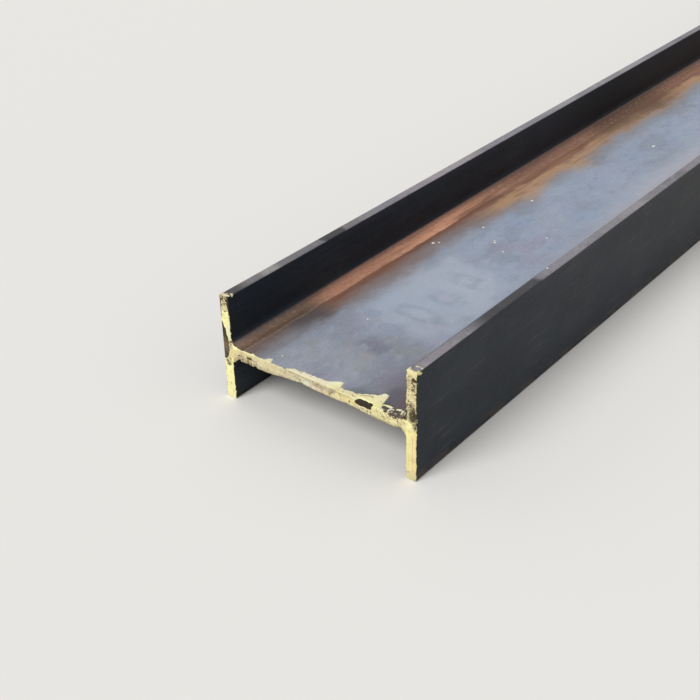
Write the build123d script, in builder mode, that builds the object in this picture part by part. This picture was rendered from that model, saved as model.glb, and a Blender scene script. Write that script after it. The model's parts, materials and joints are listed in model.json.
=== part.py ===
from build123d import *
import os

# Driving dimensions, in millimetres.
section_depth = 150.0  # outer face of one flange to outer face of the other
flange_width = 75.0  # one edge of a flange to its other edge
web_thickness = 5.0
flange_thickness = 7.0
root_radius = 8.0  # fillet that the rolls leave where the web meets a flange
toe_radius = 1.0  # small round on each long corner of a flange's edge
beam_length = 6000.0  # stock length, between the two sawn ends

# The beam lies as it is stacked: both flanges stand on edge, and the web is level
# between them. X runs across the section from flange to flange, Y along the beam
# and Z up. The origin is on the floor, below the middle of the beam.
web_level = flange_width / 2
flange_centre = (section_depth - flange_thickness) / 2
section_plane = Plane(origin=(0, 0, web_level), x_dir=(1, 0, 0), z_dir=(0, -1, 0))


def height_off_web(corner):
    """How far a corner of the section lies above or below the web's middle."""
    return abs(corner.Y)


# One rolled bar: the whole section is drawn once and drawn out along the length.
with BuildPart() as beam:
    with BuildSketch(section_plane) as section:
        # The web runs into both flanges, so the three strips fuse to one outline.
        Rectangle(section_depth, web_thickness)
        with Locations((-flange_centre, 0), (flange_centre, 0)):
            Rectangle(flange_thickness, flange_width)

        # The four inner corners beside the web get the root fillet.
        roots = section.vertices().group_by(height_off_web)[0]
        fillet(roots, radius=root_radius)

        # The eight corners furthest from the web are the flanges' toes.
        toes = section.vertices().group_by(height_off_web)[-1]
        fillet(toes, radius=toe_radius)

    # Half the length each way keeps the middle of the beam at the origin.
    extrude(amount=beam_length / 2, both=True)
beam.part.label = "beam"

os.makedirs("parts", exist_ok=True)
export_step(beam.part, "parts/beam.step")
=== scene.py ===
# %% [markdown]
# # Dressing a rolled steel beam
#
# The object is one length of hot-rolled structural steel, lying as such bars are stored: both
# flanges stand on edge and the web is level between them. Its shape comes ready from the packed
# CAD model, so this lesson is about what the mill and the stockyard leave on such a bar:
# blue-grey scale, dust, rust in the roots, and yellow marking paint brushed over the sawn end.

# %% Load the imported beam
import json
import math
import random

import bpy
import numpy as np
from mathutils import Matrix, Vector, noise
from mathutils.geometry import delaunay_2d_cdt


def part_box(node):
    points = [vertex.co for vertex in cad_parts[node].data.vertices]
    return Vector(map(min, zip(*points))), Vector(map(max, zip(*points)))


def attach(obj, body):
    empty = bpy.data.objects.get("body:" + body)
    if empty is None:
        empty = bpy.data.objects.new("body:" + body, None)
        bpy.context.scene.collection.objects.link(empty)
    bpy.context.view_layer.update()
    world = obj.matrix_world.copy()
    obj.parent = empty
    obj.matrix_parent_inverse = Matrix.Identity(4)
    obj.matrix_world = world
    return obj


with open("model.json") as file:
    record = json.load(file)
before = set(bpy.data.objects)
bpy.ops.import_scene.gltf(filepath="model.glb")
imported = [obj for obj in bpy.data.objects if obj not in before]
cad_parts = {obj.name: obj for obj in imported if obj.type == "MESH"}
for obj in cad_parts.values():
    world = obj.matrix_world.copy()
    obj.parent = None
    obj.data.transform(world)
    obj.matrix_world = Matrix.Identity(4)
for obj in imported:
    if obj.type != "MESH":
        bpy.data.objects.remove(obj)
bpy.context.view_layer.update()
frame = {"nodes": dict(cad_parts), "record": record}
beam = frame["nodes"]["beam"]

# %% [markdown]
# ## Sizes
#
# Everything below is placed from the beam itself. The imported record says where its faces are, so
# the plate thicknesses are read from there and not typed again. Blender works in metres, and a
# steel section is drawn in millimetres, so the sizes are kept in millimetres up to the last step.
# Across is x, from the left flange to the right one. Along is y, counted from the painted end.
# The record holds no radii, so those two are typed. The root's is the one that the rolling
# standard gives, and the toe's is judged.

# %% Read the section's sizes
MM = 0.001
faces = {m["name"]: Vector(m["pos_m"]) / MM for m in frame["record"]["mounts"]}
low, high = (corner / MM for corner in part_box("beam"))
outer = high.x
top = high.z
near_end = low.y
length = high.y - low.y
inner = 2 * faces["right_flange_toe"].x - outer
web_top = faces["web_upper_face"].z
web_low = faces["web_lower_face"].z
root_radius = 8.0
toe_radius = 1.0
print(f"flange {outer - inner:.1f} mm, web {web_top - web_low:.1f} mm, length {length:.0f} mm")

# %% [markdown]
# ## The camera
#
# The view looks down on the painted end from the right-hand side and from close by, so the far
# end runs out of the picture. A camera is three things: where it stands, which way it points and
# how long its lens is. Its turn could come from a target to look at. Building it from azimuth,
# elevation and roll instead keeps each of them a number that can be read and corrected alone.

# %% Set up the camera
# From the middle of the near end's foot in mm, then three turns in degrees.
camera_from_end = Vector((381.0, -427.8, 417.6))
azimuth, elevation, roll = 39.52, 31.88, -1.525
picture_side = 700
focal_pixels = 1150.0

camera = bpy.data.objects.new("camera", bpy.data.cameras.new("camera"))
bpy.context.scene.collection.objects.link(camera)
camera.data.sensor_width = 36.0
camera.data.lens = camera.data.sensor_width * focal_pixels / picture_side
camera.data.clip_start, camera.data.clip_end = 0.02, 60.0
turn = (
    Matrix.Rotation(math.radians(azimuth), 4, "Z")
    @ Matrix.Rotation(math.radians(90 - elevation), 4, "X")
    @ Matrix.Rotation(math.radians(roll), 4, "Z")
)
camera.matrix_world = Matrix.Translation((Vector((0, near_end, 0)) + camera_from_end) * MM) @ turn
bpy.context.scene.camera = camera
print(f"lens {camera.data.lens:.1f} mm, {camera_from_end.length:.0f} mm from the near end")

# %% [markdown]
# ## Colours and nodes
#
# Colours are picked as sRGB hex, the way a paint card gives them, and one function turns them to
# the linear values that shaders use. A second function adds a node, gives it its settings and
# links what is handed to it. Nodes could also be placed by hand in Blender's editor, but a script
# can be read, repeated and corrected line by line.


# %% Turn colours to linear values and add nodes
def linear(hex_colour):
    """An sRGB hex colour as linear RGBA."""
    parts = [int(hex_colour[i : i + 2], 16) / 255 for i in (1, 3, 5)]
    curve = [p / 12.92 if p <= 0.04045 else ((p + 0.055) / 1.055) ** 2.4 for p in parts]
    return (*curve, 1.0)


def add(tree, kind, inputs, output=0, **settings):
    """Adds a node, sets or links its inputs by name or place, and returns one output."""
    node = tree.nodes.new("ShaderNode" + kind)
    for name, value in settings.items():
        setattr(node, name, value)
    for key, value in inputs.items():
        if isinstance(value, bpy.types.NodeSocket):
            tree.links.new(value, node.inputs[key])
        elif isinstance(value, str):
            node.inputs[key].default_value = linear(value)
        else:
            node.inputs[key].default_value = value
    return node.outputs[output] if node.outputs else node


print("a middle grey in linear values:", round(linear("#808080")[0], 3))

# %% [markdown]
# ## A stack of layers
#
# Weathered steel is a stack: bare oxide, then dust, then stains, each only where something holds.
# So a third function lays such a stack. A layer is what it lays (a colour or a number), how
# strongly, and its conditions. A condition is a value with the two readings between which it
# turns smoothly from not holding to holding, so the same list serves colour, gloss and relief.
# (up, 30, 20), for one, holds below 20 mm and fades out up to 30 mm.

# %% Lay a stack
# A Mix node keeps its two inputs and its result at different places for colours and for numbers.
MIX_PLACES = {"RGBA": (6, 7, 2), "FLOAT": (2, 3, 0)}


def lay(tree, base, layers):
    """Lays each layer over what is below it, as far as all of its conditions hold."""
    data_type = "FLOAT" if isinstance(base, float) else "RGBA"
    first, second, mixed = MIX_PLACES[data_type]
    for what, amount, *conditions in layers:
        for value, start, stop in conditions:
            limits = {"Value": value, 1: start, 2: stop, 4: amount}
            amount = add(tree, "MapRange", limits, interpolation_type="SMOOTHSTEP")
        parts = {0: amount, first: base, second: what}
        base = add(tree, "Mix", parts, output=mixed, data_type=data_type)
    return base


print("layers can be laid")

# %% [markdown]
# ## Places and patterns in millimetres
#
# A pattern looks right when its lumps have the size of the real marks. So every material starts
# from the same three numbers, how far across, along and up the shaded point is, and a noise is
# asked for by the size of its lumps. Image textures would do as well on a short piece.


# %% Start a material and make its noises
def new_material(name):
    """An empty node material and its tree."""
    material = bpy.data.materials.new(name)
    material.use_nodes = True
    material.node_tree.nodes.clear()
    return material, material.node_tree


def millimetres(tree):
    """The shaded point in mm, along counted from the painted end: as a vector and in parts."""
    place = add(tree, "TexCoord", {}, output="Object")
    place = add(tree, "VectorMath", {0: place, 1: (0, -near_end * MM, 0)}, operation="ADD")
    place = add(tree, "VectorMath", {0: place, "Scale": 1 / MM}, operation="SCALE")
    return place, [add(tree, "SeparateXYZ", {0: place}, output=part) for part in "XYZ"]


def patterns(tree, place, table):
    """Noise by name, from the size of its lumps across, along and up the beam in mm."""
    made = {}
    # Each noise is read at a place of its own, so that no two of them rise and fall together.
    spacing = Vector((137.0, 71.0, 29.0))
    for number, (name, (size, detail, roughness)) in enumerate(table.items()):
        scale = [1 / s for s in size]
        spot = {"Vector": place, "Location": spacing * number, "Scale": scale}
        shape = {"Scale": 1.0, "Detail": detail, "Roughness": roughness}
        made[name] = add(tree, "TexNoise", {"Vector": add(tree, "Mapping", spot), **shape})
    return made


print("materials can be started")

# %% [markdown]
# ## Mill scale
#
# Hot rolling leaves a skin of blue-black iron oxide, called mill scale. On the real bar it is
# almost black where a face stands upright, and pale blue-grey where a face lies level and gathers
# dust; part of that pale blue-grey is a painted reflection of the sky. It could be one painted
# image, but an image of six metres would be coarse. Node patterns in millimetres stay sharp
# anywhere on the bar, so they are used here.
#
# First come the values that all of its layers ask about: where on the bar the point is, which way
# the face looks, and a set of noises. Rolling draws every mark out along the bar, so most of the
# noises are longer along than across. Their lumps run from half a metre, for drifts of dust,
# down to a millimetre, for grit. Real grit is finer, but it would not show from here.

# %% Where on the beam
scale_material, tree = new_material("mill_scale")
place, (across, along, up) = millimetres(tree)
facing = add(tree, "TexCoord", {}, output="Normal")
facing_along, facing_up = (add(tree, "SeparateXYZ", {0: facing}, output=part) for part in "YZ")
endwise = add(tree, "Math", {0: facing_along}, operation="ABSOLUTE")

noises = patterns(
    tree,
    place,
    {
        "drift": ((260, 620, 260), 2.0, 0.5),
        "cloud": ((30, 60, 30), 4.0, 0.6),
        "mottle": ((15, 19, 15), 3.0, 0.55),
        "tint": ((22, 40, 22), 3.0, 0.6),
        "ragged": ((9, 20, 9), 4.0, 0.65),
        "wisp": ((6, 11, 6), 4.0, 0.6),
        "smear": ((3, 50, 3), 3.0, 0.55),
        "flake": ((2.4, 3.4, 2.4), 3.0, 0.6),
        "grit": ((0.9, 1.0, 0.9), 2.0, 0.5),
        "scratch": ((0.7, 70, 0.7), 1.0, 0.4),
        "stretch": ((90, 75, 90), 2.0, 0.5),
    },
)
print(len(noises), "noises on the mill scale")

# %% [markdown]
# Most stains start at a root, so they ask how far a point is from the inside of the nearer
# flange. Two noises push that distance in and out, and the stain's edge wanders with them. Rust
# in the fillet has a straighter edge, so it asks for a distance that is only a little frayed.
# The conditions that many layers share get their names here too.

# %% Distance from the roots
sideways = add(tree, "Math", {0: across}, operation="ABSOLUTE")
from_root = add(tree, "Math", {0: inner, 1: sideways}, operation="SUBTRACT")
swell = add(tree, "Math", {0: noises["cloud"], 1: -0.5}, operation="ADD")
raggedness = add(tree, "Math", {0: noises["ragged"], 1: -0.5}, operation="ADD")
swell_reach, ragged_reach, fray_reach = 26.0, 12.0, 5.0
wander = add(tree, "Math", {0: swell, 1: swell_reach, 2: from_root}, operation="MULTIPLY_ADD")
wander = add(tree, "Math", {0: raggedness, 1: ragged_reach, 2: wander}, operation="MULTIPLY_ADD")
frayed = add(tree, "Math", {0: raggedness, 1: fray_reach, 2: from_root}, operation="MULTIPLY_ADD")

settled = (facing_up, 0.49, 0.98)
level = (facing_up, 0.85, 0.97)
under_toes = (up, top - 8, top - 14)
left_side = (across, 6, -6)
right_side = (across, -6, 6)
outside = (sideways, inner + 3, inner + 6)
print(f"a stain's edge wanders by up to {(swell_reach + ragged_reach) / 2:.0f} mm each way")

# %% [markdown]
# ## Two skins of oxide
#
# The scale has two faces. Steep faces keep the oxide's blue-black with a breath of brown. Level
# faces have a bloom of dust and fine rust that reads as blue-grey, partly through a painted
# reflection of the sky, with paler haze, darker places and a violet cast. Both are mostly even:
# the real skin is calm, and its grain is fine.
#
# The outer faces of the flanges are knocked and rubbed whenever a bar is moved, so they also get
# long scuffs, a few freckles of rust and a rusty foot. Such marks are usual there and are not
# copied from this very bar.

# %% Bare scale on steep faces
bare = lay(
    tree,
    "#19212a",
    [
        ("#242b33", 0.8, (noises["cloud"], 0.46, 0.64)),
        ("#13161a", 0.6, (noises["smear"], 0.5, 0.66)),
        ("#272626", 0.5, (noises["drift"], 0.5, 0.62)),
        ("#35393d", 0.4, (noises["flake"], 0.6, 0.7)),
        # a paler margin below the toes, and painted shade on the steep faces further in
        ("#32323a", 0.5, (up, 66, 74), (along, 90, 130)),
        ("#131315", 0.7, (along, 380, 470)),
        # scuffs, freckles and foot of the outer faces
        ("#4b4f54", 0.45, (noises["smear"], 0.54, 0.7), (noises["cloud"], 0.4, 0.6), outside),
        ("#4e4138", 0.4, (noises["wisp"], 0.58, 0.7), (noises["drift"], 0.42, 0.56), outside),
        ("#5d4a3c", 0.5, (noises["ragged"], 0.42, 0.56), (up, 8, 1), outside),
    ],
)
print("bare scale laid")

# %% Dusty scale on level faces, with a painted sky reflection
dust_and_sky_sheen = lay(
    tree,
    "#969ba7",
    [
        # a duller band behind the paint, then bluer scale, and greyer scale beside the roots
        ("#868d9c", 0.7, (along, 32, 48), (along, 92, 66)),
        ("#97a1b3", 1.0, (along, 64, 108)),
        ("#7a7d87", 0.75, (across, 8, 30), (along, 80, 30)),
        ("#868d99", 0.5, (from_root, 44, 30), left_side),
        # haze, darker places, violet and blue casts
        ("#a5aebd", 0.35, (noises["cloud"], 0.5, 0.66)),
        ("#7c8490", 0.4, (noises["cloud"], 0.48, 0.34)),
        ("#9892a4", 0.4, (noises["tint"], 0.52, 0.66)),
        ("#8b9db8", 0.45, (noises["tint"], 0.48, 0.34), (along, 150, 260)),
        # patches of olive and violet, stronger towards the painted end
        ("#8a8d8a", 0.4, (noises["mottle"], 0.53, 0.65), (along, 160, 60)),
        ("#837f93", 0.5, (noises["mottle"], 0.46, 0.35), (along, 190, 90)),
        # fine grain
        ("#adb4bf", 0.2, (noises["wisp"], 0.53, 0.7)),
        ("#787c86", 0.25, (noises["wisp"], 0.47, 0.3)),
        ("#b3b8c0", 0.25, (noises["grit"], 0.55, 0.68)),
        ("#6c7079", 0.3, (noises["grit"], 0.45, 0.32)),
        # paler towards the right root, further in
        ("#b0b4bf", 0.7, (across, 10, 34), (along, 240, 400)),
        ("#ada5a8", 0.65, (across, 24, 46), (along, 150, 290)),
    ],
)
print("dusty scale laid")

# %% [markdown]
# ## Rust in the roots
#
# Water stands where the web meets a flange, so the root rusts first. The rust lies in the hollow
# of the fillet and stops where the fillet turns upright. It starts dull brown at the sawn end,
# turns orange within a hand's breadth and darkens again further in. The left root is the wet one.
# The right root has a stain and little rust.
#
# From the rust a stain spreads over the web: brown next to the root, then a mauve fringe. A
# quarter of a metre in, ochre takes the fringe's place, with a grey halo round it. One noise with
# a ramp of colours could make all of this. Four small stacks keep each colour by itself, and
# each of them changes along the bar as the real one does.

# %% Colours of rust and stain
rust = lay(
    tree,
    "#866f5e",
    [
        ("#c8947a", 1.0, (along, 60, 95)),
        ("#e8ab8b", 0.9, (along, 140, 205)),
        ("#957463", 0.9, (along, 215, 335)),
        ("#6b5445", 0.85, (along, 430, 480), (along, 640, 540)),
        ("#a87f66", 0.8, (along, 500, 700), (noises["drift"], 0.45, 0.6)),
        ("#dcb093", 0.3, (noises["flake"], 0.52, 0.66)),
        ("#93695a", 0.35, (noises["flake"], 0.47, 0.33)),
        ("#7b5e52", 0.3, (noises["smear"], 0.52, 0.66)),
    ],
)
fringe = lay(
    tree,
    "#7b7678",
    [
        ("#82736f", 1.0, (along, 60, 110)),
        ("#6a6667", 0.8, (along, 30, 44), (along, 84, 62)),
    ],
)
brown = lay(
    tree,
    "#705f5a",
    [
        ("#835c49", 1.0, (along, 50, 90)),
        ("#97705b", 0.9, (along, 200, 290)),
        ("#6b5045", 0.5, (noises["smear"], 0.5, 0.62)),
    ],
)
ochre = lay(
    tree,
    "#b69270",
    [
        ("#92715b", 0.75, (noises["smear"], 0.5, 0.62)),
        ("#c49b78", 0.6, (noises["cloud"], 0.5, 0.62)),
        ("#8f7968", 0.7, (noises["cloud"], 0.46, 0.36)),
    ],
)
print("colours of rust ready")

# %% Where rust and stains lie
stains = [
    # a breath of grey, then the mauve fringe and the brown
    ("#8d8a90", 0.5, (wander, 44, 27), (along, 60, 110), left_side),
    (fringe, 0.85, (wander, 32, 18), left_side),
    (fringe, 0.85, (wander, 37, 23), (along, 70, 120), left_side),
    (brown, 0.9, (wander, 20, 11), left_side),
    (brown, 0.85, (wander, 25, 14), (along, 50, 90), left_side),
    # a dark place two fingers behind the end
    ("#545052", 0.75, (wander, 27, 14), (along, 36, 48), (along, 80, 62), left_side),
    # the grey halo, the ochre and two places where it spreads wider
    ("#86868a", 0.5, (wander, 50, 34), (wander, 22, 32), (along, 250, 310), left_side),
    (ochre, 0.9, (wander, 15, 20), (wander, 38, 21), (along, 230, 285), left_side),
    (ochre, 0.7, (wander, 50, 30), (wander, 18, 26), (along, 286, 308), (along, 342, 318), left_side),
    (ochre, 0.6, (wander, 50, 31), (wander, 18, 26), (along, 355, 378), (along, 404, 386), left_side),
    # brown drifts further in, and a dark stretch of the left root
    ("#8d6b59", 0.7, (wander, 48, 26), (along, 500, 700), (noises["drift"], 0.5, 0.6)),
    ("#6a5546", 0.8, (wander, 33, 20), (along, 425, 470), (along, 640, 540), left_side),
    # the right root
    ("#716872", 0.8, (from_root, 40, 22), (along, 80, 30), right_side),
    ("#665a5e", 0.8, (from_root, 26, 10), right_side),
    (rust, 0.5, (frayed, 10.0, 6.0), right_side),
    # the rust of the left root, with two dark streaks in it
    (rust, 1.0, (frayed, 12.3, 10.5), left_side),
    (rust, 0.9, (frayed, 12.9, 11.0), (along, 108, 132), left_side),
    ("#564439", 0.65, (frayed, 5.0, 8.2), (frayed, 11.5, 9.5), (along, 80, 58), left_side),
    ("#76564a", 0.6, (frayed, 6.6, 9), (frayed, 18, 12), (along, 215, 250), (along, 305, 275), left_side),
    # painted shade where the fillet turns up
    ("#4b484f", 0.65, (facing_up, 0.9, 0.7), (along, 100, 180), left_side),
]
print(len(stains), "layers of rust and stain")

# %% [markdown]
# ## Toes
#
# The flange edges on top, the toes, are handled and dragged over. Their scale is worn to a
# lavender grey, and it changes by the hand's breadth along the edge, from pale to nearly black.
# Noise alone gives such changes anywhere. The stretches that a viewer would look for are listed
# instead, and their ends are torn by the same noise that frays the rust.

# %% Toes
tear_reach = 14.0
torn = add(tree, "Math", {0: raggedness, 1: tear_reach, 2: along}, operation="MULTIPLY_ADD")
toe = lay(
    tree,
    "#7f7d83",
    [
        ("#9a9497", 0.6, (noises["stretch"], 0.5, 0.64)),
        ("#615f64", 0.6, (noises["stretch"], 0.46, 0.34)),
        ("#8e868d", 0.5, (noises["tint"], 0.5, 0.66)),
        # darker and paler stretches of the left toe, and a paler one of the right toe
        ("#6d6b6e", 0.85, (along, 152, 118), left_side),
        ("#969292", 0.9, (along, 30, 39), (along, 54, 45), left_side),
        ("#9b9496", 0.8, (along, 206, 226), (along, 294, 268), left_side),
        ("#a9a5a8", 0.3, (noises["wisp"], 0.54, 0.68)),
        ("#8f8c93", 0.6, (along, 132, 145), (along, 215, 185), right_side),
        # nearly black stretches with torn ends
        ("#38383c", 0.95, (torn, 50, 77), (torn, 135, 129), right_side),
        ("#363537", 0.95, (torn, 93, 96), (torn, 119, 115), left_side),
        ("#3a3838", 0.8, (along, 24, 9), left_side),
        # painted shade along the rounded inner edge of the right toe, and flakes
        ("#55535a", 0.6, (from_root, -1.9, -0.7), (along, 150, 125), right_side),
        ("#55535a", 0.35, (noises["flake"], 0.54, 0.68)),
    ],
)
print("toes laid")

# %% [markdown]
# ## A wiped patch with water stains
#
# A hand's breadth behind the end, the web has been wiped and a paler patch is left. Rain has
# dried in it since and left soft ovals, most of them with a darker rim. Each could be a decal on
# a plane of its own. As a place in the one material it follows the steel and needs no extra mesh.
# So all are made from one measure: how far a point is from the middle of an oval, in shares of
# the oval's own half widths. Noise added to that measure makes the outline uneven.

# %% Wiped patch
# A patch also has a half width up and down, so that it fades out where the fillets rise.
half_height = 12.0


def from_middle(tree, place, centre, halves):
    """How far the shaded point is from the middle of an oval: 0 there and 1 on its outline."""
    spot = add(tree, "VectorMath", {0: place, 1: centre}, operation="SUBTRACT")
    spot = add(tree, "VectorMath", {0: spot, 1: halves}, operation="DIVIDE")
    return add(tree, "VectorMath", {0: spot}, output="Value", operation="LENGTH")


patch = from_middle(tree, place, (0.0, 128.0, web_top), (37.0, 54.0, half_height))
uneven = add(tree, "Math", {0: noises["mottle"], 1: 1.2, 2: patch}, operation="MULTIPLY_ADD")
wiped = add(tree, "Math", {0: raggedness, 1: 0.2, 2: uneven}, operation="MULTIPLY_ADD")
print("wiped patch placed")

# %% Stains left by drying water
# Across and along, half width across and along, share of the core, the core's colour and
# strength, and the rim's strength.
water_stains = [
    (3.4, 102, 18.0, 8.4, 0.5, "#a9b4c2", 0.3, 0.42),
    (5.0, 130.0, 15.5, 9.0, 0.2, "#aba6b3", 0.6, 0.36),
    (4.0, 158.0, 17.0, 8.6, 0.1, "#abb6c5", 0.5, 0.36),
    (0.5, 76, 11.0, 6.5, 0.9, "#8994a6", 0.5, 0.0),
    (-21.5, 85, 6.0, 5.5, 0.9, "#8994a6", 0.5, 0.0),
]
unevenness = 0.6
rim_colour = "#7c8899"
rim_gaps = (noises["ragged"], 0.34, 0.6)
drying_marks = []
for x, d, half_x, half_d, core, core_colour, core_strength, rim_strength in water_stains:
    stain = from_middle(tree, place, (x, d, web_top), (half_x, half_d, half_height))
    stain = add(tree, "Math", {0: noises["mottle"], 1: unevenness, 2: stain}, operation="MULTIPLY_ADD")
    drying_marks.append((core_colour, core_strength, (stain, core + 0.5, core + 0.2)))
    if rim_strength:
        rim = [(stain, core + 0.2, core + 0.75), (stain, 1.6, 1.1), rim_gaps]
        drying_marks.append((rim_colour, rim_strength, *rim))
print(len(drying_marks), "drying marks")

# %% [markdown]
# ## Sawn ends
#
# The ends are cut with a band saw, which leaves fine lines across the steel, and the bright cut
# has browned since. Saw lines are a fraction of a millimetre apart. They are drawn 1.1 mm apart,
# because finer ones would melt into one tone from here. A Wave texture would make them too even,
# so they are a noise squeezed flat in one direction.

# %% Saw lines on the ends
saw_pitch, saw_run = 1.1, 60.0
saw_spot = add(tree, "Mapping", {"Vector": place, "Scale": (1 / saw_run, 0, 1 / saw_pitch)})
saw_lines = add(tree, "TexNoise", {"Vector": saw_spot, "Scale": 1.0, "Detail": 2.0})
sawn = lay(
    tree,
    "#4f422a",
    [
        ("#6f6045", 0.8, (noises["wisp"], 0.46, 0.6)),
        ("#2b2213", 0.8, (noises["flake"], 0.48, 0.6)),
        ("#7d5f45", 0.5, (noises["cloud"], 0.5, 0.62)),
        ("#8b8171", 0.35, (saw_lines, 0.5, 0.62)),
        # darker above the web
        ("#3b3219", 0.9, (up, 42, 47)),
    ],
)
print("saw lines", saw_pitch, "mm apart")

# %% [markdown]
# ## The stack of all colours
#
# Now the colours go on in the order in which the yard laid them: dust with a painted sky
# reflection on level faces, what was wiped and rained on, the stains from the roots, the marks
# near the painted end, the worn toes and last the cut end. Chains and forks leave thin scratches
# along the bar, and loose grit lies on top of everything level. Separate objects for the marks
# would cost meshes and show seams, so they are layers as well.

# %% Marks near the painted end
# A pale streak and a violet shade behind it, on the middle of the web.
veil = "#97979a"
veil_place = [(along, 26, 35), (along, 50, 42), (across, -16, -6), (across, 18, 8)]
shade = "#6c6a78"
shade_place = [(along, 40, 50), (along, 66, 54), (across, -14, 0), (across, 26, 12)]
# Steel at a notch in the web's end where the brush missed it, darker partly from dirt and partly from
# painted shade.
notch_dirt_and_shade = "#2c2417"
notch_dirt_and_shade_place = [(along, 3.2, 2.2), (across, 29, 31), (across, 45, 43.6), (up, 36, 37)]
# Darker steel round the widest splash of paint, and smudges beside the right root.
darker_rim = "#4f525c"
darker_rim_place = [(along, 17, 4), (across, 14, 27), (across, 56, 46)]
darker_rim_tail = [(along, 32, 20), (across, 39, 44), (across, 58, 47)]
smudge = "#4f4b3d"
smudge_place = [(along, 10, 5), (across, 46, 50), (noises["flake"], 0.4, 0.56)]
print("marks near the painted end placed")

# %% Lay all colours
on_toes = (up, top - 1.1, top - 0.6)
on_ends = (endwise, 0.5, 0.7)
colour = lay(
    tree,
    bare,
    [
        (dust_and_sky_sheen, 1.0, (facing_up, 0.6, 0.98)),
        ("#abb5c3", 0.6, (wiped, 1.95, 1.3), level, under_toes),
        ("#b0b6c3", 0.35, (uneven, 1.62, 1.5), (along, 110, 150), level, under_toes),
        *[(*mark, level, under_toes) for mark in drying_marks],
        (shade, 0.55, (noises["ragged"], 0.42, 0.56), *shade_place),
        (veil, 0.55, (noises["ragged"], 0.43, 0.56), *veil_place),
        *[(*stain, settled, under_toes) for stain in stains],
        # rust in the roots below the web
        ("#4a372d", 0.7, (from_root, 12, 3), (facing_up, -0.4, -0.8)),
        (darker_rim, 0.6, *darker_rim_place, level),
        (darker_rim, 0.45, *darker_rim_tail, level),
        (smudge, 0.9, *smudge_place, level, under_toes),
        (toe, 1.0, on_toes, (facing_up, 0.4, 0.75)),
        # scratches, then loose grit
        ("#c5ccd6", 0.15, (noises["scratch"], 0.7, 0.76), level),
        ("#4a4644", 0.5, (noises["grit"], 0.68, 0.74), level),
        (sawn, 1.0, on_ends),
        (notch_dirt_and_shade, 0.92, *notch_dirt_and_shade_place),
    ],
)
print("all colours laid")

# %% [markdown]
# ## Gloss and relief of the scale
#
# Clean scale has a soft satin gloss. Dust takes it off and rust kills it. The relief is shallow:
# a tenth of a millimetre for pits and flakes, a little more where rust has lifted the scale. So
# shallow a relief is bump and not geometry. The Bump node gets its height in millimetres and a
# distance of one millimetre. Oxide is no bare metal, so the metallic value stays at 0, and its
# specular level is low because the crust is dull.

# %% Gloss and relief
roughness = lay(
    tree,
    0.5,
    [
        (0.62, 1.0, (facing_up, 0.3, 0.9)),
        (0.5, 0.8, (noises["wisp"], 0.5, 0.62)),
        (0.9, 1.0, (wander, 22, 12), settled, under_toes),
        (0.45, 0.8, (up, top - 1.1, top - 0.5), (facing_up, 0.2, 0.6)),
        (0.62, 1.0, on_ends),
    ],
)
height = lay(
    tree,
    0.0,
    [
        (0.05, 1.0, (noises["flake"], 0.4, 0.62)),
        (-0.12, 1.0, (noises["grit"], 0.64, 0.72)),
        (0.18, 0.8, (frayed, 13, 9), settled, under_toes, (noises["flake"], 0.42, 0.6)),
        (-0.05, 1.0, (noises["scratch"], 0.68, 0.74)),
        (0.06, 1.0, on_ends, (saw_lines, 0.42, 0.6)),
    ],
)
print("gloss and relief laid")

# %% Finish the mill scale
relief = add(tree, "Bump", {"Strength": 0.8, "Distance": MM, "Height": height})
shader = add(
    tree,
    "BsdfPrincipled",
    {
        "Base Color": colour,
        "Roughness": roughness,
        "Specular IOR Level": 0.2,
        "Normal": relief,
    },
)
add(tree, "OutputMaterial", {"Surface": shader})
for slot in beam.material_slots:
    slot.material = scale_material
print("mill scale has", len(tree.nodes), "nodes on", len(beam.material_slots), "slot")

# %% [markdown]
# ## The outline of the section
#
# The marking paint is a film that follows the end of the bar and folds over its edges, so it is
# made as a skin on the section's own outline. It could be a copy of the beam's mesh, but that has
# long triangles that can't carry a ragged edge. The outline is walked round once, corner by
# corner. Each corner is a quarter circle: 1 mm at the toes, 8 mm at the roots. Every point also
# keeps the direction away from the steel, which is where the film gets its thickness.

# %% Walk round the outline
corners = [
    (-outer, 0, toe_radius),
    (-inner, 0, toe_radius),
    (-inner, web_low, root_radius),
    (inner, web_low, root_radius),
    (inner, 0, toe_radius),
    (outer, 0, toe_radius),
    (outer, top, toe_radius),
    (inner, top, toe_radius),
    (inner, web_top, root_radius),
    (-inner, web_top, root_radius),
    (-inner, top, toe_radius),
    (-outer, top, toe_radius),
]
film_step = 0.4


def walk_outline():
    """Points of the section about one film step apart, and their directions outward."""
    points, outward = [], []
    for number, (x, z, radius) in enumerate(corners):
        corner = Vector((x, z))
        after = corners[(number + 1) % len(corners)]
        coming = (corner - Vector(corners[number - 1][:2])).normalized()
        going = (Vector(after[:2]) - corner).normalized()
        centre = corner - coming * radius + going * radius
        steps = max(2, round(radius * math.pi / 2 / film_step))
        for step in range(steps):
            turned = step / steps * math.pi / 2
            heading = coming * math.cos(turned) + going * math.sin(turned)
            points.append(centre + radius * (coming * math.sin(turned) - going * math.cos(turned)))
            outward.append(Vector((heading.y, -heading.x)))
        start = corner + going * radius
        stop = Vector(after[:2]) - going * after[2]
        steps = max(1, round((stop - start).length / film_step))
        for step in range(steps):
            points.append(start.lerp(stop, step / steps))
            outward.append(Vector((going.y, -going.x)))
    return np.array(points), np.array(outward)


outline, outward = walk_outline()
ring = len(outline)
print(ring, "points round the section")

# %% [markdown]
# ## A skin over the end
#
# The skin has two parts that share one ring of points: the flat end, filled with triangles, and
# a sleeve that runs back along the bar. Both are finer than the film's ragged edge, because the
# edge is cut by lowering the skin below the steel, not by cutting the mesh. Each point also keeps
# the edge that is nearest to it and how far past that edge it lies, which is below 0 on the end.

# %% Fill the flat end with points
margin = 0.3 * film_step
crowding = 0.6 * film_step

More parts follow.
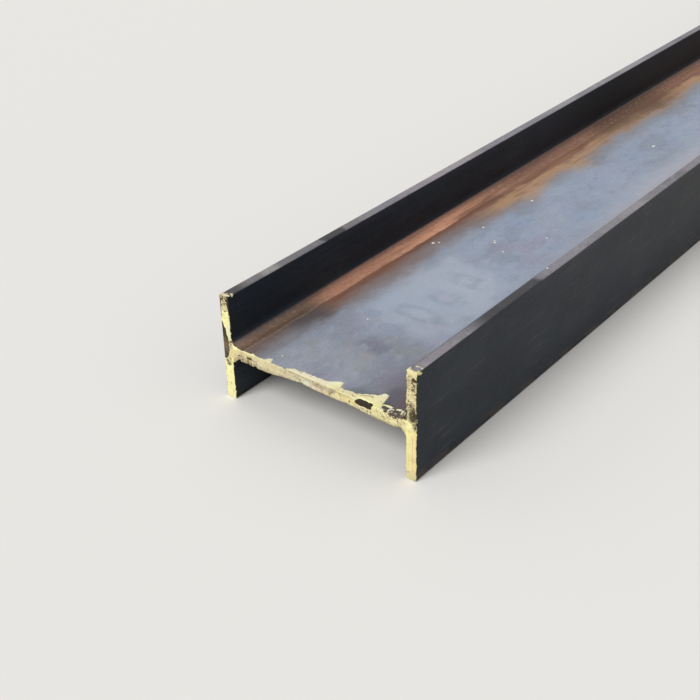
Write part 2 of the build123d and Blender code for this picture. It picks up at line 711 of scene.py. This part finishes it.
grid_x = np.arange(-outer + film_step, outer, film_step)
grid_z = np.arange(film_step, top, film_step)
fill = np.array([(x, z) for x in grid_x for z in grid_z])
in_flange = np.abs(fill[:, 0]) > inner + margin
in_web = (fill[:, 1] > web_low + margin) & (fill[:, 1] < web_top - margin)
fill = fill[in_flange | in_web]
gap = np.full(len(fill), np.inf)
edge_of_fill = np.zeros(len(fill), int)
for number, point in enumerate(outline):
    distance = np.hypot(*(fill - point).T)
    edge_of_fill[distance < gap] = number
    gap = np.minimum(gap, distance)
clear = gap > crowding
fill, gap, edge_of_fill = fill[clear], gap[clear], edge_of_fill[clear]
print(len(fill), "points fill the end")

# %% Join end and sleeve
sleeve_depth = 17.0
rows = round(sleeve_depth / film_step)
only_inside = 1
merge_distance = 1e-5

flat_points = [Vector(p) for p in np.vstack([outline, fill])]
flat = delaunay_2d_cdt(flat_points, [], [list(range(ring))], only_inside, merge_distance)
end_count = len(flat[0])
end_faces = [tuple(face) for face in flat[2]]
assert end_count == len(flat_points)

end_part = np.array([(x, 0.0, z) for x, z in flat[0]])
depths = np.arange(1, rows + 1) * film_step
sleeve_part = np.array([(x, d, z) for d in depths for x, z in outline])
points = np.vstack([end_part, sleeve_part])
on_end = np.arange(len(points)) < end_count
edge = np.concatenate([np.arange(ring), edge_of_fill, np.tile(np.arange(ring), rows)])
past_edge = np.concatenate([np.zeros(ring), -gap, np.repeat(depths, ring)])

away = np.column_stack([outward[edge, 0], np.zeros(len(points)), outward[edge, 1]])
away[ring:end_count] = 0.0
away[:end_count, 1] = -1.0
print(end_count, "points on the end,", rows * ring, "on the sleeve")

# %% [markdown]
# ## Where the brush went
#
# The paint was dabbed on in a hurry. It runs over the edges by a few millimetres here and a
# centimetre there, misses some spots and leaves others thin and dirty. It could be a hand-painted
# image. Here it is told in two ways that a hand can read and change: how far the paint runs over
# an edge, place by place, and strokes with two ends and a half width at each.

# %% How far the paint runs over the edges, in mm
# Over the web's upper edge: across, and how far along the web. Below 0 it stops short of the edge.
over_web = [
    (-inner, -0.3), (-63, -0.5), (-58, 0.0), (-51.6, 0.2), (-50.4, 1.8), (-49.2, 0.2),
    (-40.8, 0.2), (-39, 3.4), (-36.4, 3.8), (-35, 0.2), (-24, 0.0), (-21.5, 2.0), (-19, 3.0),
    (-11.5, 4.3), (4, 4.8), (8, 6.2), (11, 8.2), (12.6, 9.4), (14, 9.6), (15.2, 8.6), (15.9, 6.2),
    (17, 4.8), (20, 4.2), (24.5, 5.0), (28, 4.6), (32.5, 7.8), (35, 9.2), (40.0, 11.4),
    (41.0, 14.4), (42.6, 15.4), (44.4, 15.2), (45.4, 13.6), (45.9, 11.4), (46.2, 9.0),
    (46.8, 6.8), (48.2, 3.0), (49.4, 0.4), (52, -0.8), (57, -1.7), (63, -1.9), (inner, -0.8),
]
# Below the web the cut left a burr, and the paint covers it: across, and how far it hangs.
burr = [
    (-inner, 3.0), (-42, 3.2), (-33, 2.6), (-27, 1.4), (-15, 0.4), (-12, 0.0), (-6, 0.5),
    (18, 0.7), (24, 0.1), (31, 0.4), (37, 1.1), (43, 1.6), (60, 1.6), (63.5, 0.0), (inner, 0.0),
]
burr_thickness = 1.8
over_right_toe, over_left_toe, over_flanges = 1.4, 2.8, 0.1
print(len(over_web), "places over the web,", len(burr), "along the burr")

# %% Give each point of the outline its share
# The burr is whole down to the second of these depths below the web, and gone at the first.
burr_ends, burr_full = 7.0, 3.0
# Where it hangs by more than this, the paint runs over it and this far past it.
least_hang, past_burr = 0.2, 0.4
# Points count as on a face when they are this near to it.
touch = 0.01

ring_x, ring_z = outline.T
between = np.abs(ring_x) < inner - touch
above_web = between & (ring_z > web_top - touch)
below_web = between & (ring_z < web_top - touch)
hang = np.where(below_web, np.interp(ring_x, *zip(*burr)), 0.0)
hang = hang * np.clip((ring_z - web_low + burr_ends) / (burr_ends - burr_full), 0, 1)
over = np.full(ring, over_flanges)
over[above_web] = np.interp(ring_x[above_web], *zip(*over_web))
over_burr = burr_thickness + past_burr
over[below_web] = np.where(hang[below_web] > least_hang, over_burr, over_flanges)
on_toe = ring_z > top - toe_radius / 2
over[(ring_x > inner) & on_toe] = over_right_toe
over[(ring_x < -inner) & on_toe] = over_left_toe
print(f"the paint runs over the edges by {over.min():.1f} to {over.max():.1f} mm")

# %% [markdown]
# ## Brush strokes
#
# A stroke is written as its start, the half width there, its end and the half width there. Each
# place is across, along and up in mm. A stroke at 0 along the bar is on the end, and any other is
# on the sleeve. One way of writing serves four lists: spots that the brush missed, spatter beyond
# the film, thin and dirty places, and colours that differ from the thick coat.

# %% Spots that the brush missed, and spatter
left, right = -outer, outer
left_mid, right_mid = -(outer + inner) / 2, (outer + inner) / 2
missed = [
    # ragged sides below the top of the left flange
    ((left, 0, 73.6), 0.9, (left, 0, 60), 0.4),
    ((-68, 0, 74.4), 0.9, (-68, 0, 71), 1.7),
    ((-68, 0, 71), 1.7, (-68, 0, 62), 0.5),
    # a wedge along the outer edge of the left flange
    ((-75.4, 0, 54.6), 1.6, (-75.4, 0, 50), 3.2),
    ((-75.4, 0, 50), 3.3, (-75.4, 0, 44), 4.6),
    ((-75.4, 0, 44), 4.6, (-75.4, 0, 37), 5.3),
    ((-75.4, 0, 37), 5.3, (-75.4, 0, 32.8), 4.2),
    # a bite beside the left root
    ((-67.6, 0, 43.2), 0.5, (-69.0, 0, 42.6), 0.5),
    # pits where the web leaves the root
    ((-65.4, 0, 34.0), 0.7, (-64.8, 0, 33.8), 0.7),
    ((-63.4, 0, 34.6), 0.6, (-61.6, 0, 34.8), 0.6),
    ((-58.8, 0, 33.0), 0.3, (-52, 0, 33.0), 0.4),
    ((-54.6, 0, 35.8), 0.9, (-52.4, 0, 36.1), 1.0),
    ((-54.2, 0, 35.6), 0.6, (-54, 0, 32), 0.5),
    ((-48.4, 0, 34.6), 0.7, (-47.6, 0, 34.8), 0.6),
    # a notch in the upper half of the web's end
    ((32.0, 0, 38.4), 1.4, (41.4, 0, 38.5), 1.5),
    ((33.6, 0.6, web_top), 1.7, (41.6, 0.6, web_top), 1.7),
    # spots on the right flange, and its outer margin
    ((right - 2.4, 0, 44), 1.5, (right - 1, 0, 46.4), 1.0),
    ((right - 1.6, 0, 65.4), 0.5, (right - 2.4, 0, 66.6), 0.4),
    ((right - 3, 0, 69.6), 0.4, (right - 1, 0, 69.2), 0.5),
    ((right, 0, 72), 0.35, (right, 0, 40), 0.4),
]
# Dots and streaks of paint beyond the edge of the film.
spatter = [
    ((50, 2.6, web_top - 0.5), 3.8, (64, 3.0, web_top), 4.8),
    ((66, 2.6, 42), 3.0, (inner, 2.0, 47), 2.0),
    ((right_mid - 1, 2.5, top), 3.2, (right_mid + 1.5, 3.5, top), 3.4),
    ((left_mid, 2.0, top), 3.4, (left_mid + 2, 3.0, top), 2.6),
]
print(len(missed), "missed spots and", len(spatter), "strokes of spatter")

# %% Thin and dirty places
# How much of the steel shows through comes first, then the stroke.
dirty = [
    # left flange, from the top down
    (0.95, (left_mid, 0, 74.6), 3.6, (left_mid, 0, 73), 3.6),
    (0.6, (left_mid, 0, 70), 3.8, (left_mid, 0, 66), 3.8),
    (0.3, (left_mid, 0, 66), 3.8, (left_mid, 0, 60), 3.8),
    (0.85, (left_mid, 0, 30), 3.4, (left_mid, 0, 27), 3.2),
    (0.7, (-69.6, 0, 42.6), 1.7, (-69.4, 0, 39), 1.7),
    # web, from left to right
    (0.75, (-64, 0, 34), 2.8, (-48, 0, 34.6), 2.8),
    (0.25, (-46, 0, 37), 3.4, (-26, 0, 37), 3.4),
    (0.4, (-24, 0, 37.5), 3.4, (10, 0, 37.5), 3.4),
    (0.4, (12, 0, 38.5), 2.6, (28, 0, 37.5), 2.8),
    (0.7, (32, 0, 35.8), 1.4, (44, 0, 35.4), 1.4),
    (0.5, (46, 0, 37), 3.6, (64, 0, 37), 3.6),
    (0.95, (51, 0, 41.6), 1.4, (58, 0, 41), 2.0),
    (1.0, (58, 0, 41), 2.0, (67, 0, 43), 3.6),
    # right flange, from the top down
    (0.5, (right_mid - 1, 0, 70), 3.0, (right_mid - 1, 0, 64), 3.0),
    (1.0, (right_mid + 1.2, 0, 69.6), 2.2, (right_mid + 1.2, 0, 63.6), 2.2),
    (0.5, (right_mid, 0, 61), 3.8, (right_mid, 0, 55), 3.8),
    (0.8, (right_mid, 0, 52), 3.8, (right_mid, 0, 48.6), 3.8),
    (1.3, (right_mid + 0.8, 0, 46.4), 3.4, (right_mid + 1, 0, 43.6), 3.4),
    (0.95, (right - 1.3, 0, 41), 2.0, (right - 1.3, 0, 36), 1.6),
    (0.2, (right_mid, 0, 14), 4.0, (right_mid, 0, 2), 4.0),
    # two small holes on the web
    (1.1, (9.2, 0, 36), 0.9, (10.4, 0, 36), 0.9),
    (0.9, (20.6, 0, 35.8), 0.9, (22, 0, 36.2), 0.9),
    # over the edges: on the web, then on the toes
    (0.45, (16, 1.5, web_top), 3.0, (30, 3.0, web_top), 3.0),
    (0.6, (52, 2.5, web_top), 3.0, (66, 3.0, web_top + 2), 5.0),
    (0.85, (right_mid, 3.0, top), 4.0, (right_mid, 6.0, top), 3.0),
    (0.4, (left_mid, 1.0, top), 3.0, (left_mid, 4.0, top), 3.0),
]
print(len(dirty), "thin and dirty places")

# %% Tints of the coat
thick_coat = "#efeba5"
tints = [
    # left flange, from the top down
    ("#d5c9aa", (left_mid, 0.3, top), 3.4, (left_mid, 4.0, top), 3.6),
    ("#a89f7a", (left_mid, 0, 75), 3.8, (left_mid, 0, 73.4), 3.6),
    ("#d2cc98", (left_mid, 0, 70.4), 3.4, (left_mid, 0, 67), 3.2),
    ("#e2deb4", (-70, 0, 53), 2.2, (-69.5, 0, 45), 2.4),
    ("#b4a88a", (-69.5, 0, 42), 2.0, (-69, 0, 39), 2.2),
    ("#cdc38d", (left_mid, 0, 31), 3.2, (left_mid, 0, 27), 3.0),
    ("#e6e3a4", (left_mid, 0, 9), 3.6, (left_mid, 0, 1), 3.6),
    # web, from left to right
    ("#d6c38c", (-67, 0, 35), 3.4, (-60, 0, 36), 4.2),
    ("#baa97f", (-58, 0, 35), 4.6, (-50, 0, 35), 4.6),
    ("#cabe94", (-47, 0, 36), 5.0, (-26, 0, 36), 5.0),
    ("#bfb592", (-24, 0, 37), 4.6, (-5, 0, 37), 4.6),
    ("#b0a487", (-4, 0, 37), 4.6, (9, 0, 37), 4.6),
    ("#c8bc8f", (11, 0, 37), 4.6, (40, 0, 36), 4.6),
    # small patches on the web
    ("#c6cab4", (-9.4, 0, 37.4), 1.6, (-5, 0, 36.6), 2.0),
    ("#b9af76", (-7.5, 0, 40.2), 0.8, (-2.5, 0, 40.2), 0.8),
    ("#a3927a", (1, 0, 38.8), 2.2, (14, 0, 38.6), 2.0),
    ("#cfc1a8", (-1, 0, 35.8), 1.2, (4, 0, 35.8), 1.2),
    ("#ddcd8c", (18, 0, 38.6), 2.6, (29, 0, 38), 3.0),
    ("#d4c88f", (46, 0, 36), 5.0, (64, 0, 36), 5.0),
    ("#969374", (54, 0, 41.6), 1.6, (66, 0, 42.4), 2.8),
    # right flange, from the top down
    ("#e0d29a", (right_mid, 0, 75), 4.0, (right_mid, 0, 72.6), 4.0),
    ("#c1b284", (right_mid, 0, 69), 4.2, (right_mid, 0, 65), 4.2),
    ("#ccba88", (right_mid, 0, 61), 4.2, (right_mid, 0, 55), 4.2),
    ("#aa9b70", (right_mid, 0, 51), 4.2, (right_mid, 0, 48.6), 4.2),
    ("#6c6647", (right_mid, 0, 45.8), 3.8, (right_mid, 0, 43.6), 3.8),
    ("#b9b590", (inner + 1.2, 0, 47), 1.4, (inner + 1.2, 0, 43), 1.6),
    ("#a7a17a", (right - 1.2, 0, 40.4), 2.0, (right - 1.2, 0, 36), 1.8),
    ("#e5dc94", (right_mid, 0, 33), 4.2, (right_mid, 0, 18), 4.2),
    ("#e3d38c", (right_mid, 0, 15), 4.2, (right_mid, 0, 3), 4.2),
    ("#ebd394", (right - 0.7, 0, 32), 0.9, (right - 0.7, 0, 4), 0.9),
    ("#c4ac76", (right - 2.6, 0, 31), 0.25, (right - 2.3, 0, 3), 0.35),
    ("#cbc08c", (right_mid, 0, 3), 3.8, (right_mid, 0, 0), 4.0),
    # along and over the web's upper edge, then over the right toe
    ("#8f8264", (-23, 0, web_top - 0.5), 0.3, (30, 0, web_top - 0.5), 0.3),
    ("#ede4c4", (-40, 1.5, web_top), 3.6, (8, 3.0, web_top), 4.2),
    ("#f2f0cc", (9, 5.6, web_top), 3.0, (14, 8.4, web_top), 2.4),
    ("#e8dfb0", (16, 2.0, web_top), 3.0, (28, 3.0, web_top), 3.4),
    ("#f4ebb6", (32, 4.0, web_top), 3.6, (42, 8.0, web_top), 5.0),
    ("#b9a68e", (30.5, 4.4, web_top), 0.5, (37.6, 7.8, web_top), 0.8),
    ("#f2ecc6", (41, 11.5, web_top), 2.0, (44, 13.5, web_top), 2.8),
    ("#e0dcbc", (50, 2.0, web_top), 2.6, (67, 3.0, web_top + 2), 5.0),
    ("#d2cdbb", (right_mid, 2.2, top), 3.0, (right_mid, 6.0, top), 4.0),
]
print(len(tints), "tints")

# %% [markdown]
# ## From strokes to a film
#
# Each point of the skin gets one number, how far inside the paint it is. Noise of two sizes frays
# the edge, and random pinholes come from the brush skipping over the saw marks. The film is a
# third of a millimetre thick inside and sinks into the steel across its edge, so the edge looks
# round and wet-laid and no gap opens below it. Displacing a plain sheet in the material would
# leave the film out of the exported mesh, so the points themselves are moved.


# %% Measure strokes and noise
def inside(stroke, points):
    """How far in mm each point lies inside the stroke; below 0 is outside."""
    start, start_width, stop, stop_width = stroke
    run = np.subtract(stop, start)
    share = np.clip((points - start) @ run / (run @ run), 0, 1)
    away = np.linalg.norm(points - start - share[:, None] * run, axis=1)
    return start_width + share * (stop_width - start_width) - away


def side_of(stroke):
    """The points a stroke can reach: those on the end or those on the sleeve."""
    return on_end if stroke[0][1] == 0 and stroke[2][1] == 0 else ~on_end


def rough(points, grain, octaves, seed):
    """Fractal noise of about -1 to 1 at each point, with lumps of that many mm."""
    shift = Vector((seed * 31.7, seed * 17.3, seed * 5.9))
    fall, steps = 0.9, 2.0
    return np.array([noise.fractal(Vector(p) / grain + shift, fall, steps, octaves) for p in points])


fray = 0.6 * rough(points, grain=2.4, octaves=4, seed=1)
fray += 0.35 * rough(points, grain=0.9, octaves=2, seed=2)
pores = rough(points, grain=1.0, octaves=2, seed=4)
pores += 0.35 * rough(points, grain=3.5, octaves=2, seed=5)
dabs = rough(points, grain=2.5, octaves=3, seed=10)
print(f"the edge frays by up to {abs(fray).max():.1f} mm")

# %% Find what is painted
# How far in mm the edge frays on the end, on the sleeve and round a missed spot.
end_fray, sleeve_fray, missed_fray = 0.8, 1.2, 0.7
# How noise turns a stroke of spatter into dots: their size, and how far they stay apart.
dab_size, dab_gap = 2.6, 0.35
# How far the coat holds, and how much of that the pores and the dirt take away.
hold, pore_bite, dirt_bite = 2.0, 2.0, 1.7
dirt_blur = 1.2

painted = over[edge] - past_edge + fray * np.where(on_end, end_fray, sleeve_fray)
for stroke in spatter:
    dots = np.minimum(inside(stroke, points), dab_size * dabs - dab_gap)
    painted = np.maximum(painted, dots)
dirt = np.zeros(len(points))
for strength, *stroke in dirty:
    share = np.clip(inside(stroke, points) / dirt_blur, 0, 1) * side_of(stroke)
    dirt = np.maximum(dirt, strength * share)
painted = np.minimum(painted, hold - pore_bite * pores - dirt_bite * dirt)
for stroke in missed:
    painted = np.minimum(painted, missed_fray * fray - inside(stroke, points))
print(f"{(painted > 0).sum()} of {len(points)} points painted")

# %% Give the film its thickness
film_thickness, extra_on_sleeve, most_extra = 0.3, 0.12, 0.25
edge_width = 0.45
# Bristle marks run across the end, so the noise for them is stretched that way.
bristle_stretch = (0.12, 1, 0.6)
bristles = 0.06 * rough(points * bristle_stretch, grain=0.8, octaves=2, seed=6)
bristles += 0.05 * rough(points, grain=4.0, octaves=2, seed=7)
coat = film_thickness + np.where(on_end, 0.0, extra_on_sleeve) + bristles
lift = np.where(painted > 0, coat, film_thickness)
rise = lift * np.clip(painted / edge_width, -1.0, 1.0)
rise = np.minimum(rise, film_thickness + most_extra)
skin = points + away * rise[:, None]
print(f"the film rises by {rise.max():.2f} mm at most")

# %% Hang the burr below the web
behind = np.sqrt(np.clip(1 - (points[:, 1] / burr_thickness) ** 2, 0, 1))
on_edge = (np.arange(len(points)) < ring) | ~on_end
ragged = 1 + 0.1 * rough(points * (1, 0, 0), grain=3.0, octaves=3, seed=9)
skin[:, 2] -= hang[edge] * behind * ragged * on_edge
skin[:, 2] = np.maximum(skin[:, 2], 0.0)
print(f"the burr hangs by up to {hang.max():.1f} mm")

# %% Colour of the film at each point
# A tint blends in over a share of the stroke's width, and starts a little outside it.
least_blur, blur_share, head_start = 0.1, 0.4, 0.2
blend = 0.35 * rough(points, grain=2.0, octaves=3, seed=8)
tint = np.tile(linear(thick_coat)[:3], (len(points), 1))
for hex_colour, *stroke in tints:
    blur = least_blur + blur_share * stroke[1]
    share = np.clip(inside(stroke, points) / blur + head_start + blend, 0, 1) * side_of(stroke)
    share = share[:, None]
    tint = tint * (1 - share) + np.array(linear(hex_colour)[:3]) * share
print("tints laid")

# %% [markdown]
# ## The film as a piece
#
# Only the faces that are painted, or nearly so, are kept. The rest of the skin lies below the
# steel and would never be seen. The film is one open sheet, so a Solidify modifier gives it an
# underside, which sits inside the steel. The colours are kept at the points of the mesh, since
# a film of this grain carries them finer than an image would.

# %% Keep the painted faces
kept_margin = 0.6
sleeve_faces = []
for row in range(rows):
    here = 0 if row == 0 else end_count + (row - 1) * ring
    beyond = end_count + row * ring
    for number in range(ring):
        after = (number + 1) % ring
        sleeve_faces.append((here + number, beyond + number, beyond + after, here + after))
seen = painted > -kept_margin
faces_kept = [face for face in end_faces + sleeve_faces if any(seen[i] for i in face)]
used = sorted({i for face in faces_kept for i in face})
renumber = {old: new for new, old in enumerate(used)}
print(len(faces_kept), "of", len(end_faces) + len(sleeve_faces), "faces kept")


# %% Make the film
def keep_colours(mesh, tint, dirt):
    """Keeps the paint's colour and dirt at each point of a mesh, for the material to read."""
    attribute = mesh.attributes.new("tint", "FLOAT_COLOR", "POINT")
    attribute.data.foreach_set("color", np.column_stack([tint, np.ones(len(tint))]).ravel())
    attribute = mesh.attributes.new("dirt", "FLOAT", "POINT")
    attribute.data.foreach_set("value", dirt)


body_thickness = 0.25
film_mesh = bpy.data.meshes.new("end_paint")
film_mesh.from_pydata(
    [tuple(v) for v in (skin[used] + (0, near_end, 0)) * MM],
    [],
    [[renumber[i] for i in face] for face in faces_kept],
)
film_mesh.shade_smooth()
keep_colours(film_mesh, tint[used], dirt[used])
film = bpy.data.objects.new("end_paint", film_mesh)
bpy.context.scene.collection.objects.link(film)
body = film.modifiers.new("body", "SOLIDIFY")
body.thickness = body_thickness * MM
body.offset = -1.0
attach(film, "root")
print(len(film_mesh.polygons), "faces in the film")

# %% [markdown]
# ## Drops of paint
#
# A loaded brush drips, so a few flat drops have dried on the web and a toe. Each is a low dome on
# an uneven round, thin at its rim. Squashed spheres would do from afar, but their rims are too
# even. The drops are joined to one mesh, since they are one material and nothing is gained by
# keeping them apart.

# %% Where the drops fell
# Across, along and up in mm, then the width of the drop.
drops = [
    (-34.6, 10.3, web_top, 1.2),
    (-20, 77, web_top, 1.4),
    (-49, 192, web_top, 3.2),
    (-46, 195, web_top, 1.8),
    (-15, 221, web_top, 1.6),
    (-13.2, 218.8, web_top, 2.4),
    (-33.9, 235.1, web_top, 2.2),
    (-0.5, 209.9, web_top, 1.8),
    (13.3, 247.4, web_top, 2.2),
    (-29.1, 297.1, web_top, 2.6),
    (-3.1, 453.5, web_top, 3.6),
    (right_mid - 2, 148, top, 1.6),
    (51.4, 5.8, web_top, 3.2),
    (58.6, 6.8, web_top, 2.2),
    (61.0, 6.4, web_top, 2.6),
]
print(len(drops), "drops")

# %% Shape the drops
dice = random.Random(7)
drop_sides, drop_rings = 14, 3
drop_height, rim_sink = 0.22, 0.05
drop_points, drop_faces = [], []
for x, d, z, width in drops:
    first = len(drop_points)
    drop_points.append((x, d, z + drop_height))
    stretch = dice.uniform(0.75, 1.3)
    wobble = [dice.uniform(0.7, 1.25) for _ in range(drop_sides)]
    for number in range(1, drop_rings + 1):
        share = number / drop_rings
        for side in range(drop_sides):
            angle = 2 * math.pi * side / drop_sides
            reach = width / 2 * share * (wobble[side] * share + 1 - share)
            spot = (x + reach * math.cos(angle) / stretch, d + reach * math.sin(angle) * stretch)
            drop_points.append((*spot, z + drop_height * (1 - share**2) - rim_sink * share))
            here = first + 1 + (number - 1) * drop_sides
            after = (side + 1) % drop_sides
            if number == 1:
                drop_faces.append((first, here + side, here + after))
            else:
                below = here - drop_sides
                drop_faces.append((below + side, here + side, here + after, below + after))
print(len(drop_points), "points in the drops")

# %% Make the drops
drop_mesh = bpy.data.meshes.new("paint_drops")
drop_points = np.array(drop_points)
drop_mesh.from_pydata([tuple(p) for p in (drop_points + (0, near_end, 0)) * MM], [], drop_faces)
drop_mesh.shade_smooth()
drop_tint = np.tile(linear("#e9e6d8")[:3], (len(drop_points), 1))
keep_colours(drop_mesh, drop_tint, np.zeros(len(drop_points)))
drops_piece = bpy.data.objects.new("paint_drops", drop_mesh)
bpy.context.scene.collection.objects.link(drops_piece)
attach(drops_piece, "root")
print(len(drop_mesh.polygons), "faces in the drops")

# %% [markdown]
# ## Marking paint
#
# Line-marking paint is a thick alkyd with a soft gloss that dries lemon yellow. Where it went on
# thin, the brown of the end shows through, and dirt sits in it as small dark flecks. The mesh
# carries the tint of the film and its dirt at each point, and the material reads both back.
#
# What is finer than the mesh comes from noise: bristle lines across the web and up the flanges,
# pale and ochre crumbs where the coat is thin, and the flecks, which grow thicker with the dirt.

# %% What the paint asks for
paint_material, tree = new_material("brushed_marking_paint")
place, (across, along, up) = millimetres(tree)
tint_here = add(tree, "Attribute", {}, output="Color", attribute_name="tint")
dirt_here = add(tree, "Attribute", {}, output="Fac", attribute_name="dirt")
noises = patterns(
    tree,
    place,
    {
        "cloud": ((7, 7, 7), 3.0, 0.6),
        "brush": ((5, 1.4, 0.9), 3.0, 0.6),
        "drag": ((0.7, 3, 9), 3.0, 0.6),
        "blotch": ((3.6, 4, 4.4), 2.0, 0.5),
        "fleck": ((1.5, 2.0, 2.2), 4.0, 0.7),
        "crumb": ((1.3, 1.3, 1.3), 3.0, 0.65),
        "grain": ((0.6, 0.6, 0.6), 2.0, 0.5),
    },
)
blotch_share, dirt_weight = 0.4, 0.14
specks = add(tree, "Mix", {0: blotch_share, 2: noises["fleck"], 3: noises["blotch"]}, data_type="FLOAT")
soiled = add(tree, "Math", {0: dirt_here, 1: dirt_weight, 2: specks}, operation="MULTIPLY_ADD")
sideways = add(tree, "Math", {0: across}, operation="ABSOLUTE")
on_flange = (sideways, inner - 1, inner + 0.5)
thin = (dirt_here, 0.05, 0.5)
print(len(noises), "noises in the paint")

# %% Colour, relief and gloss of the paint
colour = lay(
    tree,
    tint_here,
    [
        ("#fbf6c4", 0.25, (noises["cloud"], 0.5, 0.64)),
        ("#d9c478", 0.35, (noises["brush"], 0.48, 0.34)),
        ("#a98f55", 0.35, (noises["drag"], 0.52, 0.66), on_flange),
        ("#fbf3da", 0.4, (noises["crumb"], 0.52, 0.64), thin),
        ("#a07a3e", 0.45, (noises["crumb"], 0.47, 0.36), thin),
        ("#f6f0cd", 0.25, (noises["grain"], 0.52, 0.66)),
        ("#8d7f56", 0.65, (soiled, 0.57, 0.67)),
        ("#3a3220", 0.85, (soiled, 0.65, 0.72)),
    ],
)
height = lay(
    tree,
    0.0,
    [
        (0.12, 1.0, (noises["brush"], 0.35, 0.65)),
        (0.05, 1.0, (noises["grain"], 0.4, 0.6)),
        (-0.15, 1.0, (soiled, 0.62, 0.72)),
    ],
)
roughness = lay(
    tree,
    0.45,
    [
        (0.7, 1.0, (soiled, 0.55, 0.7)),
        (0.6, 0.6, (noises["cloud"], 0.5, 0.6)),
    ],
)
print("paint laid")

# %% Finish the paint
relief = add(tree, "Bump", {"Strength": 0.8, "Distance": MM, "Height": height})
shader = add(
    tree,
    "BsdfPrincipled",
    {"Base Color": colour, "Roughness": roughness, "IOR": 1.5, "Normal": relief},
)
add(tree, "OutputMaterial", {"Surface": shader})
for mesh in (film_mesh, drop_mesh):
    mesh.materials.append(paint_material)
print("marking paint has", len(tree.nodes), "nodes")

# %% [markdown]
# ## Studio
#
# One large soft lamp stands ahead of the painted end and high up, so the end, the web and the
# toes are lit and the flange faces that look right stay dark. The world fills in evenly. Lamp and
# world together come to about 1 on the level web, so a colour renders about as it is written.
# Rays that come straight from the camera, off gloss or through glass see a paler world than the
# one that lights, so the background is pale without more light.

# %% Floor
floor_reach = 30.0
floor_mesh = bpy.data.meshes.new("floor")
floor_mesh.from_pydata(
    [(x * floor_reach, y * floor_reach, 0) for x, y in ((-1, -1), (1, -1), (1, 1), (-1, 1))],
    [],
    [(0, 1, 2, 3)],
)
floor = bpy.data.objects.new("floor", floor_mesh)
bpy.context.scene.collection.objects.link(floor)
floor_material, tree = new_material("studio_floor")
shader = add(tree, "BsdfPrincipled", {"Base Color": "#e9e7e3", "Roughness": 0.8})
add(tree, "OutputMaterial", {"Surface": shader})
floor_mesh.materials.append(floor_material)
print("floor laid")

# %% Lamp
lamp_level = 2.4
lamp_angle = 35
lamp_from = Vector((-0.12, -0.7, 0.7))
lamp = bpy.data.objects.new("lamp", bpy.data.lights.new("lamp", "SUN"))
bpy.context.scene.collection.objects.link(lamp)
lamp.data.energy = lamp_level
lamp.data.angle = math.radians(lamp_angle)
lamp.rotation_mode = "QUATERNION"
lamp.rotation_quaternion = lamp_from.to_track_quat("Z", "Y")
print("lamp hung")

# %% World
fill_level = 0.45
backdrop_level = 0.85
world = bpy.data.worlds.new("studio")
bpy.context.scene.world = world
world.use_nodes = True
tree = world.node_tree
tree.nodes.clear()
rays = ("Is Camera Ray", "Is Glossy Ray", "Is Transmission Ray")
camera_ray, glossy_ray, through_ray = (add(tree, "LightPath", {}, output=ray) for ray in rays)
direct = add(tree, "Math", {0: camera_ray, 1: glossy_ray}, operation="MAXIMUM")
direct = add(tree, "Math", {0: direct, 1: through_ray}, operation="MAXIMUM")
strength = add(tree, "Mix", {0: direct, 2: fill_level, 3: backdrop_level}, data_type="FLOAT")
glow = add(tree, "Background", {"Color": "#ffffff", "Strength": strength})
add(tree, "OutputWorld", {"Surface": glow})

bpy.context.scene.view_settings.view_transform = "Standard"
print("studio ready")

# %% [markdown]
# ## Finish
#
# The dressed beam has to stay in the CAD model's box.

# %% Finish
print("finished")
